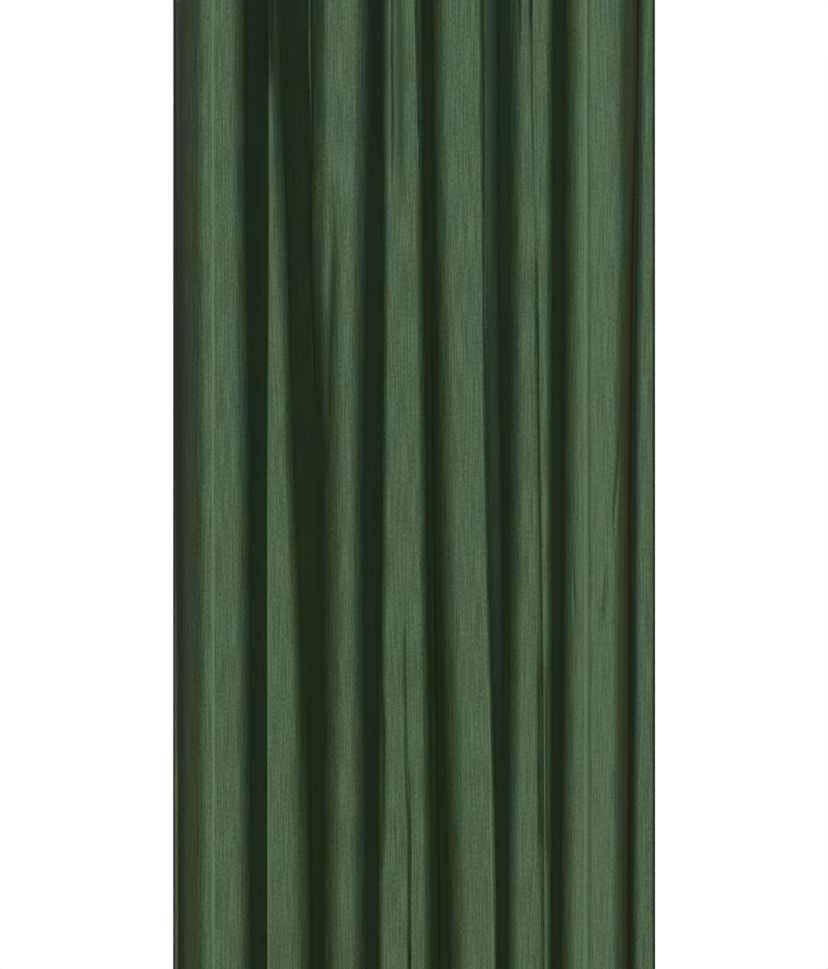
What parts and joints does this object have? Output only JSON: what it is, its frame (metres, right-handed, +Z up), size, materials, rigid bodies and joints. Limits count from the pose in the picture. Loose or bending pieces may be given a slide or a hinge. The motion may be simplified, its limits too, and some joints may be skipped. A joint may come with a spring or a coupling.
{
  "type": "eyelet door curtain",
  "caption": "Long satin-faced cloth curtain that hangs in deep uneven folds from metal eyelets in a stiffened top strip, to screen a doorway.",
  "frame": {"origin": "middle of the curtain's top edge, on the line above the rod's axis", "axes": "+Z up, +X to the viewer's right along the rod's line, front of the curtain toward -Y"},
  "size_m": [0.607, 0.1478, 2.134],
  "materials": {
    "cloth": "slubbed satin",
    "eyelet_metal": "satin"
  },
  "bodies": {
    "root": {"panel": "cloth", "heading": "cloth", "eyelet_1": "eyelet_metal", "eyelet_2": "eyelet_metal", "eyelet_3": "eyelet_metal", "eyelet_4": "eyelet_metal", "eyelet_5": "eyelet_metal", "eyelet_6": "eyelet_metal", "eyelet_7": "eyelet_metal", "eyelet_8": "eyelet_metal"}
  },
  "joints": []
}
